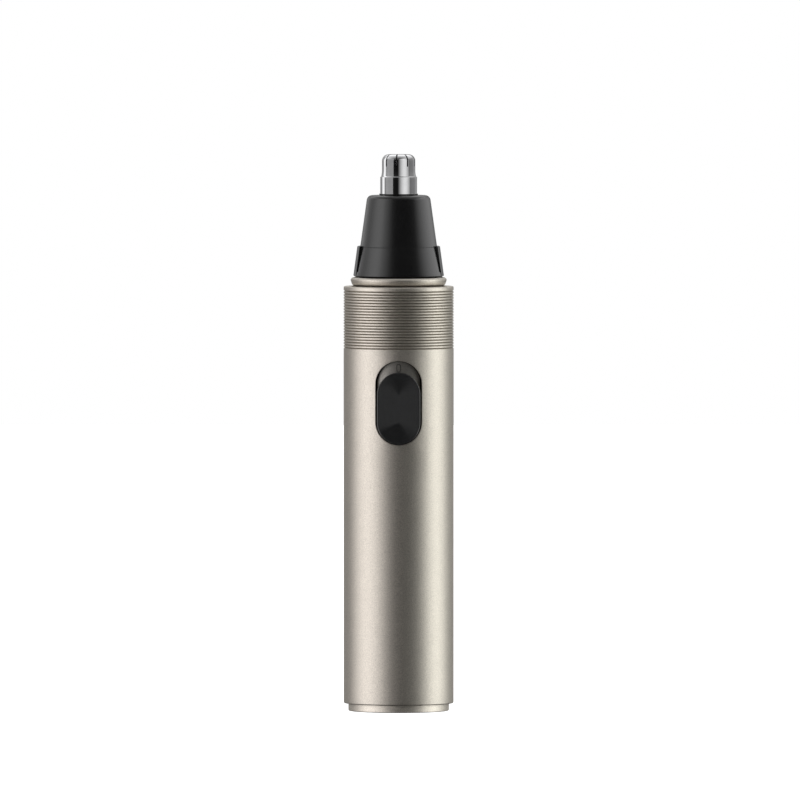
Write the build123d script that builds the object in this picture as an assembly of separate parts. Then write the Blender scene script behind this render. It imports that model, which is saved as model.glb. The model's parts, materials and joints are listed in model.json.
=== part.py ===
from build123d import *
import os
from math import atan, cos, degrees, radians, sin, tan

# A battery-powered nose hair trimmer, in millimetres. Z is its long axis and points up, the origin
# is the middle of its underside, and the thumb switch faces -Y.

# Barrel: one drawn metal tube with an inward lip at the top
barrel_r = 12.25
barrel_bottom = 1.7
barrel_top = 94.65
barrel_wall = 0.9
bore_r = barrel_r - barrel_wall
chassis_fit = 0.04
chassis_r = bore_r - chassis_fit
lip_thickness = 1.2
lip_r = 10.5
lip_bottom = barrel_top - lip_thickness
edge_round = 0.3

# Turned grip grooves near the top of the barrel
groove_count = 21
groove_pitch = 0.63
groove_top = 93.61
groove_half_width = 0.15
groove_depth = 0.17

# Overall height, and the levels of the head
trimmer_height = 124.0
neck_ring_top = 96.87
head_bottom = 96.95
head_seam = 103.35
cone_top = 114.9
grip_foot_r = 10.03
grip_top_r = 8.66
cone_foot_r = 8.57
cone_angle = 7.9
tongue_foot = 97.6
tongue_foot_r = 10.02
tongue_top = 103.6
tongue_top_r = 9.25
tongue_inner_r = 8.68
slit_bottom = 97.9
slit_half_angle = 1.25

# Coarse right-hand thread that the head and the battery cap turn on
lead = 12.0
thread_starts = 3
lug_half_angle = 18.0
groove_half_angle = 21.5

# Thumb switch
switch_middle = 68.97
slot_width = 10.2
slot_length = 18.6
button_width = 9.63
button_length = 15.95
button_bottom = 59.8
button_middle = button_bottom + button_length / 2
button_travel = 2.3
button_face = 12.7
button_rim = 0.17
dish_depth = 0.8
track_outer_r = 11.3
track_inner_r = 10.6
track_bottom = 57.5
track_top = 80.5
stem_half_width = 1.5
stem_half_length = 2.5
stem_play = 0.15
slider_face = 9.7
slider_half = 3.5
notch_offset = 1.15
mark_width = 0.75
mark_length = 1.45
mark_middle = 77.02
mark_depth = 0.2

# Switch contacts: how far in front of the axis each face lies
board_face = 8.5
contact_face = 8.65
bridge_face = 8.95

# Battery: one AA cell
cell_bottom = 9.2
cell_r = 7.2
cell_height = 49.3
cell_length = 50.5

# Motor: a small can motor with two flats
motor_bottom = 63.5
motor_top = 88.5
motor_r = 10.2
motor_flat = 7.55
switch_flat = motor_flat
shaft_r = 1.0
shaft_bottom = 64.2
shaft_top = 96.9
can_wall = 0.5
boss_top = 90.0
core_bottom = 71.0
core_top = 82.0
rotor_r = 6.0

# Chassis levels, from the battery cap up
cap_rim_top = 3.0
tube_top = 61.2
cradle_top = 90.2
plate_top = 92.35

# Fits between the neck and the head
spigot_r = 8.0
spigot_step = 100.2
spigot_nose_r = 7.3
spigot_top = 102.2
lug_outer_r = 8.6
lug_bottom = 97.7
lug_top = 99.0
head_bore_r = 8.15
head_way_r = 8.75
nose_bore_r = 7.45
seal_groove_r = 8.05
cone_collar_r = 8.0
cone_collar_bottom = 102.35
cone_wall = 1.2
cone_hole_r = 4.15
tongue_half_angle = 19.0
slit_floor_r = 8.45

# Blades
blade_seat = 113.6
flange_bottom = 113.0
guard_r = 3.71
guard_corner = 1.45
guard_wall = 0.35
guard_slot = 0.29
guard_slots = 9
guard_slot_bearing = -97.7
guard_slot_bottom = 121.3
guard_slot_inner = 1.5
collar_r = 4.10
flange_r = 5.2
retainer_bore_r = 3.3
retainer_bottom = 110.9
carrier_r = 2.2

# Drive and chassis screws
coupler_hub_r = 2.5
coupler_shoulder = 97.0
coupler_top = 102.5
seal_outer_r = 4.2
seal_top = 94.4
bush_r = 2.0
bell_top = 66.0
pole_angles = (90, 210, 330)
lead_level = 62.3
screw_places = [(4.8, 8.6), (-4.8, 8.6), (4.8, -8.6), (-4.8, -8.6)]
screw_r = 0.7
screw_head_r = 1.15
screw_head_bottom = 91.5
screw_tip = 85.5

# Battery tube, collar and battery cap
tube_bottom = 9.1
tube_plate = 60.1
tube_r = 8.6
tube_bore_r = 7.45
strip_half = 1.5
collar_bottom = 3.1
collar_bore_r = 9.5
collar_neck_r = 9.1
cap_way_r = 10.1
cap_rim_r = 11.22
cap_spigot_r = 9.35
cap_lug_r = 9.95
cap_cup_r = 7.9
cap_floor = 2.0

BASE = (Align.CENTER, Align.CENTER, Align.MIN)


def disc(radius, bottom, top):
    """A solid cylinder on the Z axis."""
    return Pos(0, 0, bottom) * Cylinder(radius, top - bottom, align=BASE)


def ring(outer, inner, bottom, top):
    """A plain tube on the Z axis."""
    return disc(outer, bottom, top) - disc(inner, bottom, top)


def block(x0, x1, y0, y1, z0, z1):
    """A box between two corners."""
    centre = Pos((x0 + x1) / 2, (y0 + y1) / 2, (z0 + z1) / 2)
    return centre * Box(x1 - x0, y1 - y0, z1 - z0)


def bend(centre, radius, start_angle, end_angle):
    """The start, middle and end of a round corner in a turned outline."""
    angles = (start_angle, (start_angle + end_angle) / 2, end_angle)
    return tuple(
        (centre[0] + radius * cos(radians(a)), centre[1] + radius * sin(radians(a))) for a in angles
    )


def turned(start, *steps):
    """A solid turned about Z from an outline of (radius, height) points that closes itself.

    A step is a point to run straight to, or three points: where an arc starts, its middle and its end.
    """
    edges = []
    here = start
    for step in steps:
        arc = isinstance(step[0], tuple)
        corner = step[0] if arc else step
        if abs(corner[0] - here[0]) + abs(corner[1] - here[1]) > 1e-6:
            edges.append(Line(here, corner))
        here = corner
        if arc:
            edges.append(ThreePointArc(*step))
            here = step[2]
    edges.append(Line(here, start))
    return revolve(Plane.XZ * make_face(edges), Axis.Z)


def sector(inner, outer, middle_angle, half_angle):
    """A flat piece of a ring, half_angle degrees to each side of middle_angle."""
    first = middle_angle - half_angle
    last = middle_angle + half_angle

    def at(radius, angle):
        return (radius * cos(radians(angle)), radius * sin(radians(angle)))

    return make_face(
        [
            ThreePointArc(at(outer, first), at(outer, middle_angle), at(outer, last)),
            Line(at(outer, last), at(inner, last)),
            ThreePointArc(at(inner, last), at(inner, middle_angle), at(inner, first)),
            Line(at(inner, first), at(outer, first)),
        ]
    )


def thread_keys(inner, outer, bottom, top, half_angle):
    """Short helical keys, one for each start, that all lie on the same right-hand helix."""
    turn = 360 * (top - bottom) / lead
    keys = []
    for start in range(thread_starts):
        bearing = 360 * start / thread_starts + 360 * bottom / lead
        face = Pos(0, 0, bottom) * sector(inner, outer, bearing, half_angle)
        keys.append(
            Solid.extrude_linear_with_rotation(face.faces()[0], (0, 0, bottom), (0, 0, top - bottom), turn)
        )
    return keys


def front_stadium(width, length, middle, near, far):
    """A block with round ends on the front, from y = -near out to y = -far."""
    outline = Pos(0, middle) * Rot(0, 0, 90) * SlotOverall(length, width)
    return extrude(Plane.XZ.offset(near) * outline, amount=far - near)


def coil(radius, top_radius, wire_r, bottom, top, turns):
    """A round-wire spring that tapers evenly from radius at the bottom to top_radius."""
    height = top - bottom - 2 * wire_r
    taper = degrees(atan((top_radius - radius) / height))
    path = Pos(0, 0, bottom + wire_r) * Helix(height / turns, height, radius, cone_angle=taper)
    return sweep(Plane(path @ 0, z_dir=path % 0) * Circle(wire_r), path=path, is_frenet=True)


def mirrored_pair(shape):
    """The shape and its mirror image across the YZ plane, as two solids."""
    return Compound(children=[shape, mirror(shape, Plane.YZ)])


# ---- Barrel and chassis ----


def barrel_sleeve():
    grooves = []
    for index in reversed(range(groove_count)):
        level = groove_top - groove_pitch * index
        grooves.append(
            (
                (barrel_r, level - groove_half_width),
                (barrel_r - groove_depth, level),
                (barrel_r, level + groove_half_width),
            )
        )
    round_r = barrel_r - edge_round
    tube = turned(
        (bore_r, barrel_bottom),
        bend((round_r, barrel_bottom + edge_round), edge_round, -90, 0),
        *grooves,
        bend((round_r, barrel_top - edge_round), edge_round, 0, 90),
        (lip_r, barrel_top),
        (lip_r, lip_bottom),
        (bore_r, lip_bottom),
    )
    return tube - front_stadium(slot_width, slot_length, switch_middle, 5, 14)


def neck_ring():
    return turned(
        (spigot_r + chassis_fit, plate_top),
        (chassis_r, plate_top),
        (chassis_r, lip_bottom),
        (lip_r - 0.08, lip_bottom),
        (lip_r - 0.08, 95.0),
        (lip_r, 95.3),
        (10.63, 95.9),
        ((10.63, 95.9), (10.70, 96.14), (10.52, 96.52)),
        ((10.52, 96.52), (10.40, 96.77), (10.15, neck_ring_top)),
        (spigot_r + chassis_fit, neck_ring_top),
    )


def neck_spigot():
    """The plate that closes the chassis, with the stepped neck that the head turns on."""
    plate = disc(chassis_r, cradle_top, plate_top)
    neck = ring(spigot_r, 6.3, plate_top, spigot_step)
    nose = ring(spigot_nose_r, 6.3, spigot_step, spigot_top)
    seal_cup = ring(5.2, seal_outer_r, plate_top, seal_top)
    body = plate + neck + nose + seal_cup
    for key in thread_keys(spigot_r - 0.3, lug_outer_r, lug_bottom, lug_top, lug_half_angle):
        body += key
    body -= disc(coupler_hub_r + 0.15, cradle_top, plate_top)
    for x, y in screw_places:
        body -= Pos(x, y, 0) * disc(screw_r, cradle_top, screw_head_bottom)
        body -= Pos(x, y, 0) * disc(screw_head_r, screw_head_bottom, plate_top)
    return body


def shaft_seal():
    return turned(
        (coupler_hub_r + 0.03, plate_top),
        (seal_outer_r, plate_top),
        (seal_outer_r, seal_top),
        (3.6, seal_top),
        (3.0, seal_top - 1.0),
        (coupler_hub_r + 0.03, seal_top - 0.6),
    )


def motor_section(radius, flat):
    """The outline of the motor can: a circle with two flats."""
    return Circle(radius) & Rectangle(4 * radius, 2 * flat)


def motor_block(radius, flat, bottom, top):
    return extrude(Pos(0, 0, bottom) * motor_section(radius, flat), amount=top - bottom)


def motor_cradle():
    body = disc(chassis_r, tube_top, cradle_top)
    body -= disc(9.4, tube_top, motor_bottom)
    body -= motor_block(motor_r + chassis_fit, motor_flat + 0.05, motor_bottom, motor_top)
    body -= disc(3.2, motor_top, cradle_top)
    body -= block(-15, 15, -15, -switch_flat, tube_top, 84)
    body -= block(-4.5, 4.5, 8.6, 15, 66, 84)
    for x, y in screw_places:
        body -= Pos(x, y, 0) * disc(screw_r, screw_tip, cradle_top)
    return body


def chassis_screws():
    screws = []
    for x, y in screw_places:
        screw = disc(screw_r, screw_tip, screw_head_bottom) + disc(screw_head_r, screw_head_bottom, 92.25)
        screw -= block(-screw_head_r, screw_head_r, -0.15, 0.15, 91.9, 92.3)
        screw -= block(-0.15, 0.15, -screw_head_r, screw_head_r, 91.9, 92.3)
        screws.append(Pos(x, y, 0) * screw)
    return Compound(children=screws)


def battery_tube():
    """The sleeve around the cell: a flange at the foot, four long ribs and a plate at the top."""
    body = ring(tube_r, tube_bore_r, tube_bottom, tube_plate)
    body += ring(chassis_r, tube_bore_r, tube_bottom, tube_bottom + 1.2)
    ribs = block(0, chassis_r + 1, -0.7, 0.7, 12, 57) & ring(chassis_r, tube_r - 0.2, 12, 57)
    for angle in (45, 135, 225, 315):
        body += Rot(0, 0, angle) * ribs
    plate = disc(chassis_r, tube_plate, tube_top) - block(-15, 15, -15, -7.5, tube_plate, tube_top)
    body += plate
    body -= block(-1.7, 1.7, 2.75, 3.35, tube_plate, tube_top)
    body -= block(-strip_half - 0.2, strip_half + 0.2, -9.2, -tube_bore_r, tube_bottom, tube_bottom + 0.3)
    body -= block(-strip_half - 0.2, strip_half + 0.2, -9.2, -8.62, tube_bottom, tube_bottom + 1.2)
    return body


def base_collar():
    """The ring at the foot of the barrel, with the three helical ways for the battery cap."""
    body = turned(
        (collar_bore_r, collar_bottom),
        (chassis_r, collar_bottom),
        (chassis_r, tube_bottom),
        (collar_neck_r, tube_bottom),
        (collar_neck_r, 7.5),
        (collar_bore_r, 7.5),
    )
    for key in thread_keys(collar_bore_r - 0.3, cap_way_r, collar_bottom - 0.6, 6.65, groove_half_angle):
        body -= key
    return body


# ---- Battery and its contacts ----


def battery_cell():
    return turned(
        (0, cell_bottom),
        bend((cell_r - 0.65, cell_bottom + 0.5), 0.5, -90, 0),
        bend((cell_r - 0.65, cell_bottom + cell_height - 0.5), 0.5, 0, 90),
        (0, cell_bottom + cell_height),
    )


def battery_wrap():
    top = cell_bottom + cell_height
    return turned(
        (cell_r - 0.15, cell_bottom + 0.5),
        (cell_r, cell_bottom + 0.5),
        (cell_r, top - 0.5),
        (cell_r - 0.15, top - 0.5),
    )


def battery_positive_cap():
    seat = cell_bottom + cell_height
    tip = cell_bottom + cell_length
    return turned(
        (0, seat),
        (3.9, seat),
        (3.9, seat + 0.25),
        (2.75, seat + 0.25),
        bend((2.45, tip - 0.3), 0.3, 0, 90),
        (0, tip),
    )


def positive_contact():
    leaf = block(-4, 4, -3.2, 3.2, 59.76, 60.06)
    tab = block(-1.5, 1.5, 2.9, 3.2, 59.76, 62.8)
    return leaf + tab


def negative_strip():
    """The long strip that brings the cell's negative end up to the switch."""
    upright = block(-strip_half, strip_half, -bridge_face, -contact_face, 8.78, 61.0)
    foot = block(-strip_half, strip_half, -bridge_face, -7.55, 8.78, 9.03)
    return upright + foot


# ---- Switch ----


def switch_track():
    """The curved plate that the button slides on, with an engraved bar above the button that marks ON."""
    plate = ring(track_outer_r, track_inner_r, track_bottom, track_top)
    plate &= block(-15, 15, -15, -switch_flat, track_bottom, track_top)
    stem_bottom = button_middle - stem_half_length - stem_play
    stem_top = button_middle + stem_half_length + button_travel + stem_play
    half = stem_half_width + 0.2
    plate -= block(-half, half, -15, -5, stem_bottom, stem_top)
    mark = front_stadium(mark_width, mark_length, mark_middle, track_outer_r - mark_depth, 14)
    return plate - mark


def switch_button():
    """The thumb piece: a round-ended block with a hollow of two cones joined by a straight valley."""
    body = front_stadium(button_width, button_length, button_middle, 5, button_face)
    body -= disc(track_outer_r + 0.08, button_bottom - 1, button_bottom + button_length + 1)
    between_ends = button_length - button_width
    mouth = button_width / 2 - button_rim
    over = 1.0
    wide = mouth * (dish_depth + over) / dish_depth
    upright = Pos(0, button_middle) * Rot(0, 0, 90)
    body -= loft(
        [
            Plane.XZ.offset(button_face - dish_depth) * upright * SlotCenterToCenter(between_ends, 0.04),
            Plane.XZ.offset(button_face + over) * upright * SlotCenterToCenter(between_ends, 2 * wide),
        ],
        ruled=True,
    )
    stem_low = button_middle - stem_half_length
    stem_high = button_middle + stem_half_length
    return body + block(-stem_half_width, stem_half_width, -11.7, -slider_face, stem_low, stem_high)


def switch_slider():
    low, high = button_middle - slider_half, button_middle + slider_half
    body = block(-slider_half, slider_half, -slider_face, -bridge_face, low, high)
    for level in (0, -button_travel):
        body -= Pos(3.85, 0, button_middle + level + notch_offset) * Rot(90, 0, 0) * Cylinder(0.6, 30)
    return body


def contact_bridge():
    low, high = button_middle - slider_half, button_middle + slider_half
    return block(-2.5, 2.5, -bridge_face, -contact_face - 0.05, low, high)


def switch_board():
    body = block(-6.2, 6.2, -board_face, -switch_flat, 60.3, 76.0)
    return body - Pos(-3.7, -8, lead_level) * Rot(90, 0, 0) * Cylinder(0.4, 4)


def fixed_contact_battery():
    return block(-strip_half, strip_half, -contact_face, -board_face, 60.4, 67.0)


def fixed_contact_motor():
    pad = block(-4.2, 1.5, -contact_face, -board_face, 71.6, 75.5)
    rail = block(-4.2, -3.2, -contact_face, -board_face, 61.6, 75.5)
    pin = Pos(-3.7, -7.2, lead_level) * Rot(90, 0, 0) * Cylinder(0.4, 1.3, align=BASE)
    return pad + rail + pin


def detent_spring():
    leaf = block(4.45, 4.65, -9.5, -board_face, 64.0, 74.0)
    bump = Pos(4.15, -9.0, button_middle + notch_offset) * Rot(90, 0, 0) * Cylinder(0.55, 1.0)
    return leaf + bump


# ---- Motor ----


def motor_can():
    body = motor_block(motor_r, motor_flat, motor_bottom, motor_top)
    body -= motor_block(motor_r - can_wall, motor_flat - can_wall, motor_bottom, motor_top - can_wall)
    body += disc(3.07, motor_top - can_wall, boss_top)
    return body - disc(bush_r, motor_top - 1, boss_top)


def motor_end_bell():
    body = motor_block(motor_r - can_wall, motor_flat - can_wall, motor_bottom, bell_top)
    body -= disc(bush_r, motor_bottom + 0.4, 65.4)
    body -= disc(1.3, 65.4, bell_top)
    slot = block(5.3, 5.7, -1, 1, motor_bottom, bell_top)
    return body - slot - mirror(slot, Plane.YZ)


def motor_terminals():
    return mirrored_pair(block(5.3, 5.7, -1, 1, 61.9, bell_top))


def motor_brushes():
    foot = block(3.6, 5.7, -0.9, 0.9, bell_top, bell_top + 0.2)
    leaf = block(3.6, 3.8, -0.9, 0.9, bell_top, 68.4)
    carbon = block(2.36, 3.6, -0.9, 0.9, 66.8, 68.4)
    return mirrored_pair(foot + leaf + carbon)


def motor_magnets():
    arc = extrude(Pos(0, 0, 70.5) * sector(rotor_r + 0.3, motor_r - can_wall, 0, 50), amount=12)
    return mirrored_pair(arc & block(-15, 15, can_wall - motor_flat, motor_flat - can_wall, 70, 83))


def motor_rear_bush():
    return ring(bush_r, shaft_r + 0.02, motor_bottom + 0.4, 65.4)


def motor_front_bush():
    return ring(bush_r, shaft_r + 0.02, motor_top - 1, boss_top)


def suppressor_capacitor():
    body = Pos(0, -0.6, 0) * disc(2.3, 61.95, 62.75)
    leg = Pos(2.2, -0.6, 62.35) * Rot(0, 90, 0) * Cylinder(0.25, 3.1, align=BASE)
    return body + leg + mirror(leg, Plane.YZ)


def insulated_wire(points, radius):
    """An insulated wire along straight runs with round corners."""
    path = FilletPolyline(*points, radius=radius)
    return sweep(Plane(path @ 0, z_dir=path % 0) * Circle(0.42), path=path)


def positive_lead():
    route = [(0.6, 3.2), (0.6, 5.2), (5.5, 5.2), (5.5, 1.0)]
    return insulated_wire([(x, y, lead_level) for x, y in route], 1.2)


def motor_lead():
    route = [(-5.5, -1.0), (-5.5, -4.4), (-3.7, -4.4), (-3.7, -7.2)]
    return insulated_wire([(x, y, lead_level) for x, y in route], 0.85)


# ---- Motor rotor ----


def motor_shaft():
    return disc(shaft_r, shaft_bottom, shaft_top)


def commutator():
    body = ring(2.3, shaft_r, 66.2, 69.2)
    for angle in (30, 150, 270):
        body -= Rot(0, 0, angle) * block(1.6, 3, -0.12, 0.12, 66.2, 68.7)
    return body


def rotor_core():
    """A three-pole stack: a hub, three arms and three shoes."""
    core = disc(2.2, core_bottom, core_top)
    shoe = extrude(Pos(0, 0, core_bottom) * sector(5.05, rotor_r, 0, 52), amount=core_top - core_bottom)
    for angle in pole_angles:
        core += Rot(0, 0, angle) * (block(0, 5.6, -0.8, 0.8, core_bottom, core_top) + shoe)
    return core - disc(shaft_r, core_bottom, core_top)


def rotor_windings():
    winding = block(2.6, 4.55, -1.9, 1.9, core_bottom - 0.8, core_top + 0.8)
    winding -= block(2, 5, -0.8, 0.8, core_bottom, core_top)
    return Compound(children=[Rot(0, 0, angle) * winding for angle in pole_angles])


def drive_coupler():
    hub = disc(coupler_hub_r, 90.6, coupler_shoulder) - disc(shaft_r, 90.6, shaft_top)
    hexagon = RegularPolygon(1.5, 6, major_radius=False)
    peg = Pos(0, 0, coupler_shoulder) * extrude(hexagon, amount=coupler_top - coupler_shoulder)
    return hub + peg


# ---- Head ----


def head_outer_r(level):
    """The outside radius of the grip ring at a height."""
    share = (level - head_bottom) / (head_seam - head_bottom)
    return grip_foot_r + (grip_top_r - grip_foot_r) * share


def cone_r(level):
    """The outside radius of the head's cone at a height."""
    return cone_foot_r - tan(radians(cone_angle)) * (level - head_seam)


def grip_ring():
    """The lower band of the head: the bore that fits the neck, and two finger tongues at its sides."""
    band = turned(
        (head_bore_r, head_bottom),
        bend((head_outer_r(head_bottom) - 0.15, head_bottom + 0.15), 0.15, -90, 0),
        (grip_top_r, head_seam),
        (cone_collar_r, head_seam),
        (cone_collar_r, cone_collar_bottom),
        (nose_bore_r, cone_collar_bottom),
        (nose_bore_r, 101.8),
        (seal_groove_r, 101.8),
        (seal_groove_r, 101.0),
        (nose_bore_r, 101.0),
        (nose_bore_r, spigot_step + 0.15),
        (head_bore_r, spigot_step + 0.15),
    )
    low, high = head_bottom - 0.6, lug_top + 0.15
    for key in thread_keys(head_bore_r - 0.3, head_way_r, low, high, groove_half_angle):
        band -= key
    tongue = turned(
        (9.0, tongue_foot),
        (tongue_foot_r, tongue_foot),
        bend((tongue_top_r - edge_round, tongue_top - edge_round), edge_round, 8, 90),
        (tongue_inner_r, tongue_top),
        (tongue_inner_r, head_seam),
        (8.5, head_seam),
    )
    for side in (0, 180):
        wedge = extrude(Pos(0, 0, 97) * sector(5, 14, side, tongue_half_angle), amount=8)
        band += tongue & wedge
        for edge in (-1, 1):
            middle = side + edge * (tongue_half_angle + slit_half_angle)
            slit = sector(slit_floor_r, 14, middle, slit_half_angle)
            band -= extrude(Pos(0, 0, slit_bottom) * slit, amount=8)
    return band


def head_cone():
    """The upper shell of the head, with a collar that plugs into the grip ring."""
    shell = turned(
        (cone_collar_r, cone_collar_bottom),
        (cone_collar_r, head_seam),
        (cone_r(head_seam), head_seam),
        (cone_r(cone_top), cone_top),
        (cone_hole_r, cone_top),
        (cone_hole_r, blade_seat),
        (cone_r(blade_seat) - cone_wall, blade_seat),
        (cone_r(head_seam) - cone_wall, head_seam),
        (cone_r(head_seam) - cone_wall, cone_collar_bottom),
    )
    rims = shell.edges().filter_by(GeomType.CIRCLE)
    shoulder = [e for e in rims if abs(e.center().Z - cone_top) < 0.01 and e.radius > cone_hole_r + 0.5]
    return fillet(shoulder, 1.2)


def outer_blade():
    """The fixed cutting guard: a flanged collar and a domed tube with radial slots."""
    guard = turned(
        (3.6, flange_bottom),
        (flange_r, flange_bottom),
        (flange_r, blade_seat),
        (collar_r, blade_seat),
        (collar_r, 119.0),
        (3.90, 119.1),
        ((3.90, 119.1), (3.78, 119.55), (guard_r, 120.2)),
        bend((guard_r - guard_corner, trimmer_height - guard_corner), guard_corner, 0, 90),
        (0, trimmer_height),
        (0, trimmer_height - guard_wall),
        bend(
            (guard_r - guard_corner, trimmer_height - guard_corner),
            guard_corner - guard_wall,
            90,
            0,
        ),
        (guard_r - guard_wall, 119.0),
        (3.6, 118.6),
    )
    half = guard_slot / 2
    foot = guard_slot_bottom + half
    slot = block(guard_slot_inner, 6, -half, half, foot, 126)
    slot += Pos(2, 0, foot) * Rot(0, 90, 0) * Cylinder(half, 4, align=BASE)
    slot += Pos(guard_slot_inner, 0, guard_slot_bottom + 0.2) * Cylinder(half, 5, align=BASE)
    for index in range(guard_slots):
        guard -= Rot(0, 0, guard_slot_bearing + 360 * index / guard_slots) * slot
    return guard


def blade_retainer():
    """The clip ring that holds the outer blade's flange up against the cone."""
    return turned(
        (retainer_bore_r, retainer_bottom),
        (cone_r(retainer_bottom) - cone_wall, retainer_bottom),
        (cone_r(flange_bottom) - cone_wall, flange_bottom),
        (retainer_bore_r, flange_bottom),
    )


def carrier_bush():
    return turned(
        (carrier_r + 0.05, 109.6),
        (4.0, 109.6),
        (4.0, retainer_bottom),
        (retainer_bore_r, retainer_bottom),
        (retainer_bore_r, flange_bottom),
        (carrier_r + 0.05, flange_bottom),
    )


# ---- Cutter ----


def blade_carrier():
    """The driven stem: a hexagonal socket below and a square peg for the inner blade above."""
    body = disc(3.0, 97.4, 104.0) + disc(carrier_r, 104.0, 113.3)
    body -= Pos(0, 0, 97.4) * extrude(RegularPolygon(1.65, 6, major_radius=False), amount=5.6)
    return body + block(-0.8, 0.8, -0.8, 0.8, 113.3, 120.0)


def inner_blade():
    """Three wings on a hub, with corners that follow the inside of the dome."""
    edge = 3.3
    top = 123.6
    envelope = turned((0, 117.2), (edge, 117.2), bend((edge - 1.05, top - 1.05), 1.05, 0, 90), (0, top))
    blade = disc(1.75, 116.6, 121.0)
    for angle in (90, 210, 330):
        blade += envelope & (Rot(0, 0, angle) * block(0, 4, -0.25, 0.25, 117, 124))
    return blade - block(-0.85, 0.85, -0.85, 0.85, 116.6, 120.3)


def thrust_spring():
    return coil(1.5, 1.5, 0.15, 113.32, 116.58, 5)


# ---- Seals ----


def seal_ring(middle_r, section_r, level):
    return Pos(0, 0, level) * Torus(middle_r, section_r)


# ---- Battery cap ----


def battery_cap():
    """The twist-off base: a rim, a spigot with three lugs, a seal groove and a coin slot below."""
    cap = turned(
        (0, 0),
        bend((cap_rim_r - 0.25, 0.25), 0.25, -90, 0),
        (cap_rim_r, cap_rim_top),
        (cap_spigot_r, cap_rim_top),
        (cap_spigot_r, 7.35),
        (8.95, 7.35),
        (8.95, 7.62),
        (8.38, 7.62),
        (8.38, 8.38),
        (8.95, 8.38),
        (8.95, 8.65),
        (cap_cup_r, 8.65),
        (cap_cup_r, cap_floor),
        (0, cap_floor),
    )
    for key in thread_keys(cap_spigot_r - 0.3, cap_lug_r, 5.2, 6.5, lug_half_angle):
        cap += key
    return cap - block(-7, 7, -1.1, 1.1, -1, 1.1)


def spring_plate():
    floor = disc(cap_cup_r, cap_floor, cap_floor + 0.25)
    return floor + ring(cap_cup_r, cap_cup_r - 0.2, cap_floor, 8.74)


def negative_spring():
    return coil(5.6, 3.6, 0.3, cap_floor + 0.25, 9.18, 4)


builders = [
    barrel_sleeve,
    neck_ring,
    neck_spigot,
    shaft_seal,
    motor_cradle,
    chassis_screws,
    battery_tube,
    base_collar,
    battery_cell,
    battery_wrap,
    battery_positive_cap,
    positive_contact,
    negative_strip,
    switch_track,
    switch_button,
    switch_slider,
    contact_bridge,
    switch_board,
    fixed_contact_battery,
    fixed_contact_motor,
    detent_spring,
    motor_can,
    motor_end_bell,
    motor_terminals,
    motor_brushes,
    motor_magnets,
    motor_rear_bush,
    motor_front_bush,
    suppressor_capacitor,
    positive_lead,
    motor_lead,
    motor_shaft,
    commutator,
    rotor_core,
    rotor_windings,
    drive_coupler,
    grip_ring,
    head_cone,
    outer_blade,
    blade_retainer,
    carrier_bush,
    blade_carrier,
    inner_blade,
    thrust_spring,
    battery_cap,
    spring_plate,
    negative_spring,
]

os.makedirs("parts", exist_ok=True)
for builder in builders:
    export_step(builder(), f"parts/{builder.__name__}.step")
export_step(seal_ring(7.68, 0.34, 101.4), "parts/head_seal.step")
export_step(seal_ring(8.74, 0.33, 8.0), "parts/cap_seal.step")
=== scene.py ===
import json
from math import cos, pi, radians, sin, sqrt, tan

import bmesh
import bpy
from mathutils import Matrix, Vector


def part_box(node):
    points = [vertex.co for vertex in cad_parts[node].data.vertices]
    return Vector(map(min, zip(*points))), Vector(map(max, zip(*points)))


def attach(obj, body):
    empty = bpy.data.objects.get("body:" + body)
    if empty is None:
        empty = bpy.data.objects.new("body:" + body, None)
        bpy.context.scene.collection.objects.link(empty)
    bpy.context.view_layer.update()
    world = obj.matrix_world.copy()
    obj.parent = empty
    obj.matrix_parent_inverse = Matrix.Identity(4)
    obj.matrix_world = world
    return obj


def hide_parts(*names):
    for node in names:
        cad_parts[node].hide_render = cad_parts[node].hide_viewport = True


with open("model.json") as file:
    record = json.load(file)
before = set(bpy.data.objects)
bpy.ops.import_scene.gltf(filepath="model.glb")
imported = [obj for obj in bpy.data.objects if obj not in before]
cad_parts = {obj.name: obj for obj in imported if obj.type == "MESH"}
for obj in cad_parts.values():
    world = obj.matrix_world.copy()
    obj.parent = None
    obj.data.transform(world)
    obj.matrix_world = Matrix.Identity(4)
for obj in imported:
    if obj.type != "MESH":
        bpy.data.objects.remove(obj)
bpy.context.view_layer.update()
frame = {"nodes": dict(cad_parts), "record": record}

# Lengths are in millimetres, except in the studio's lights and floor, which are in metres. Points
# become metres in mesh_piece() and tool_body(). The trimmer's base is at z = 0, its axis is Z and its
# switch faces -Y.
MM = 0.001


def mm_box(node):
    """A CAD node's lowest and highest corners, in millimetres."""
    low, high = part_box(node)
    return low / MM, high / MM


# ---- Sizes read from the frame, and the small shapes that only the looks need ----

sleeve_low, sleeve_high = mm_box("barrel_sleeve")
cone_low, cone_high = mm_box("head_cone")
grip_low = mm_box("grip_ring")[0]
blade_low, blade_high = mm_box("outer_blade")
cap_high = mm_box("battery_cap")[1]
neck_low, neck_high = mm_box("neck_ring")
button_low, button_high = mm_box("switch_button")
TRACK_R = -mm_box("switch_track")[0].y

BARREL_R = sleeve_high.x
BARREL_BOTTOM = sleeve_low.z
BARREL_TOP = sleeve_high.z
BARREL_BORE = BARREL_R - 0.9
LIP_R = 10.5
LIP_BOTTOM = BARREL_TOP - 1.2

GROOVES = 21
GROOVE_PITCH = 0.63
GROOVE_TOP = BARREL_TOP - 1.04
GROOVE_REACH = 0.17
GROOVE_DEPTH = 0.3

SLOT_HALF = 5.1
SLOT_REACH = 4.2
SLOT_MIDDLE = 68.97
SLOT_ROUND = 0.14

THREAD_LEAD = 12.0
THREAD_STARTS = 3

COLUMNS = 192


# ---- Mesh tools ----


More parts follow.
